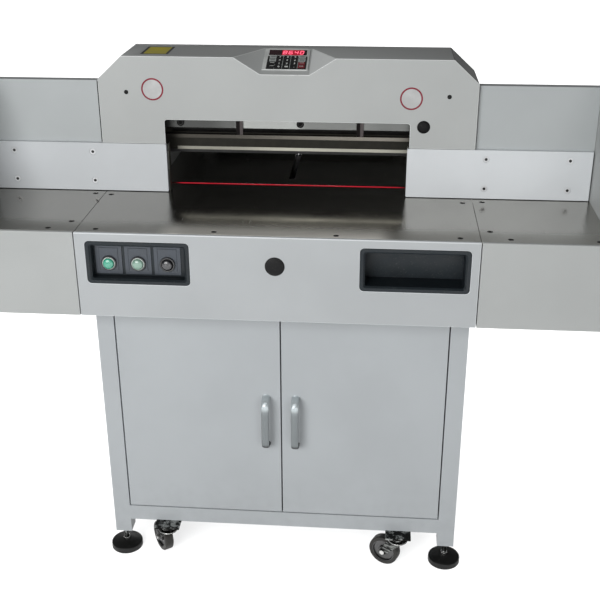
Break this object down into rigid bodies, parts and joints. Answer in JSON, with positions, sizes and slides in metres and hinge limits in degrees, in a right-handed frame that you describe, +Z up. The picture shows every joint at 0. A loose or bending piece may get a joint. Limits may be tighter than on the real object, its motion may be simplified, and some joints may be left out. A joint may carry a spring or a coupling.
{
  "type": "electric paper cutter",
  "caption": "Free-standing electric guillotine for paper: steel table with side tables, knife head with console, back gauge, and a tube stand with a two-door cabinet.",
  "frame": {"origin": "centre of the bounding box's base, on the floor", "axes": "+X to the operator's right along the table, +Y away from the operator, +Z up"},
  "size_m": [1.384, 0.974, 1.2113],
  "materials": {
    "grey_paint": "fine textured satin powder coat",
    "dark_paint": "satin",
    "ground_steel": "ground, slightly reflective",
    "bright_steel": "machined",
    "cast_iron": "dark painted casting",
    "slate_plastic": "moulded, fine grain",
    "black_plastic": "moulded",
    "red_plastic": "extruded bar",
    "keypad": "printed foil with display window",
    "green_cap": "clear glossy cap",
    "pale_cap": "clear glossy cap",
    "black_cap": "glossy cap",
    "handle_metal": "satin",
    "foot_rubber": "moulded rubber",
    "fork_steel": "dark zinc",
    "wheel_rubber": "moulded tread"
  },
  "bodies": {
    "root": {"stand_frame": "grey_paint", "cabinet_floor": "grey_paint", "cabinet_liner": "grey_paint", "base_plate": "dark_paint", "base_shell": "grey_paint", "mains_inlet": "black_plastic", "front_apron": "grey_paint", "front_plug": "black_plastic", "control_pocket": "slate_plastic", "tray_pocket": "slate_plastic", "main_table": "ground_steel", "cutting_stick": "red_plastic", "rear_table": "ground_steel", "left_side_table": "ground_steel", "right_side_table": "ground_steel", "left_side_apron": "grey_paint", "right_side_apron": "grey_paint", "left_fence": "grey_paint", "right_fence": "grey_paint", "left_wing_panel": "grey_paint", "right_wing_panel": "grey_paint", "head_cover": "grey_paint", "head_plug": "black_plastic", "console_panel": "keypad", "left_side_frame": "cast_iron", "right_side_frame": "cast_iron", "crossbeam": "cast_iron", "left_gib": "bright_steel", "right_gib": "bright_steel", "gearbox": "cast_iron", "main_motor": "dark_paint", "gauge_motor": "dark_paint", "rear_guard": "grey_paint"},
    "left_door": {"left_door": "grey_paint", "left_handle": "handle_metal"},
    "right_door": {"right_door": "grey_paint", "right_handle": "handle_metal"},
    "green_button": {"green_button": "green_cap"},
    "pale_button": {"pale_button": "pale_cap"},
    "black_button": {"black_button": "black_cap"},
    "left_front_foot": {"left_front_foot": "foot_rubber"},
    "left_rear_foot": {"left_rear_foot": "foot_rubber"},
    "right_front_foot": {"right_front_foot": "foot_rubber"},
    "right_rear_foot": {"right_rear_foot": "foot_rubber"},
    "left_front_caster": {"left_front_caster_fork": "fork_steel"},
    "left_front_caster_wheel": {"left_front_caster_wheel": "wheel_rubber"},
    "left_rear_caster": {"left_rear_caster_fork": "fork_steel"},
    "left_rear_caster_wheel": {"left_rear_caster_wheel": "wheel_rubber"},
    "right_front_caster": {"right_front_caster_fork": "fork_steel"},
    "right_front_caster_wheel": {"right_front_caster_wheel": "wheel_rubber"},
    "right_rear_caster": {"right_rear_caster_fork": "fork_steel"},
    "right_rear_caster_wheel": {"right_rear_caster_wheel": "wheel_rubber"},
    "knife": {"knife_carrier": "bright_steel", "knife_blade": "bright_steel", "pull_rod": "cast_iron"},
    "crank": {"crank": "cast_iron"},
    "clamp": {"clamp": "cast_iron"},
    "clamp_spindle": {"clamp_spindle": "bright_steel"},
    "back_gauge": {"back_gauge": "cast_iron"},
    "gauge_screw": {"gauge_screw": "bright_steel"}
  },
  "joints": [
    {"name": "left_door_hinge", "type": "hinge", "parent": "root", "child": "left_door", "pos_m": [-0.373, -0.382, 0.401], "axis": [0, 0, -1], "range_deg": [0, 105]},
    {"name": "right_door_hinge", "type": "hinge", "parent": "root", "child": "right_door", "pos_m": [0.373, -0.382, 0.401], "axis": [0, 0, 1], "range_deg": [0, 105]},
    {"name": "green_button_press", "type": "slide", "parent": "root", "child": "green_button", "axis": [0, 1, 0], "range_m": [0, 0.004], "stiffness_N_per_m": 500, "springref_m": -0.002},
    {"name": "pale_button_press", "type": "slide", "parent": "root", "child": "pale_button", "axis": [0, 1, 0], "range_m": [0, 0.004], "stiffness_N_per_m": 500, "springref_m": -0.002},
    {"name": "black_button_press", "type": "slide", "parent": "root", "child": "black_button", "axis": [0, 1, 0], "range_m": [0, 0.004], "stiffness_N_per_m": 500, "springref_m": -0.002},
    {"name": "left_front_foot_turn", "type": "hinge", "parent": "root", "child": "left_front_foot", "pos_m": [-0.402, -0.368, 0.03], "axis": [0, 0, 1], "continuous": true},
    {"name": "left_rear_foot_turn", "type": "hinge", "parent": "root", "child": "left_rear_foot", "pos_m": [-0.402, 0.192, 0.03], "axis": [0, 0, 1], "continuous": true},
    {"name": "right_front_foot_turn", "type": "hinge", "parent": "root", "child": "right_front_foot", "pos_m": [0.402, -0.368, 0.03], "axis": [0, 0, 1], "continuous": true},
    {"name": "right_rear_foot_turn", "type": "hinge", "parent": "root", "child": "right_rear_foot", "pos_m": [0.402, 0.192, 0.03], "axis": [0, 0, 1], "continuous": true},
    {"name": "left_front_caster_swivel", "type": "hinge", "parent": "root", "child": "left_front_caster", "pos_m": [-0.285, -0.401, 0.085], "axis": [0, 0, 1], "continuous": true},
    {"name": "left_front_caster_roll", "type": "hinge", "parent": "left_front_caster", "child": "left_front_caster_wheel", "pos_m": [-0.30499, -0.37349, 0.041], "axis": [0.809, 0.5878, 0], "continuous": true},
    {"name": "left_rear_caster_swivel", "type": "hinge", "parent": "root", "child": "left_rear_caster", "pos_m": [-0.285, 0.192, 0.085], "axis": [0, 0, 1], "continuous": true},
    {"name": "left_rear_caster_roll", "type": "hinge", "parent": "left_rear_caster", "child": "left_rear_caster_wheel", "pos_m": [-0.30499, 0.21951, 0.041], "axis": [0.809, 0.5878, 0], "continuous": true},
    {"name": "right_front_caster_swivel", "type": "hinge", "parent": "root", "child": "right_front_caster", "pos_m": [0.285, -0.401, 0.085], "axis": [0, 0, 1], "continuous": true},
    {"name": "right_front_caster_roll", "type": "hinge", "parent": "right_front_caster", "child": "right_front_caster_wheel", "pos_m": [0.25424, -0.38652, 0.041], "axis": [0.4258, 0.9048, 0], "continuous": true},
    {"name": "right_rear_caster_swivel", "type": "hinge", "parent": "root", "child": "right_rear_caster", "pos_m": [0.285, 0.192, 0.085], "axis": [0, 0, 1], "continuous": true},
    {"name": "right_rear_caster_roll", "type": "hinge", "parent": "right_rear_caster", "child": "right_rear_caster_wheel", "pos_m": [0.29948, 0.22276, 0.041], "axis": [0.9048, -0.4258, 0], "continuous": true},
    {"name": "knife_slide", "type": "slide", "parent": "root", "child": "knife", "axis": [-0.3926, 0, -0.9197], "range_m": [0, 0.13754]},
    {"name": "crank_turn", "type": "hinge", "parent": "root", "child": "crank", "pos_m": [0.318, -0.173, 0.78675], "axis": [0, -1, 0], "range_deg": [0, 180.5]},
    {"name": "clamp_slide", "type": "slide", "parent": "root", "child": "clamp", "axis": [0, 0, -1], "range_m": [0, 0.076]},
    {"name": "clamp_spindle_turn", "type": "hinge", "parent": "root", "child": "clamp_spindle", "pos_m": [0, -0.079, 1.1], "axis": [0, 0, 1], "range_deg": [0, 2521]},
    {"name": "gauge_slide", "type": "slide", "parent": "root", "child": "back_gauge", "axis": [0, -1, 0], "range_m": [0, 0.432]},
    {"name": "gauge_screw_turn", "type": "hinge", "parent": "root", "child": "gauge_screw", "pos_m": [0, 0.2, 0.849], "axis": [0, 1, 0], "range_deg": [0, 15560]}
  ],
  "couplings": [
    {"joint": "crank_turn", "follows": "knife_slide", "rad_per_m": 22.841},
    {"joint": "clamp_spindle_turn", "follows": "clamp_slide", "rad_per_m": 523.6},
    {"joint": "gauge_screw_turn", "follows": "gauge_slide", "rad_per_m": 628.32}
  ]
}
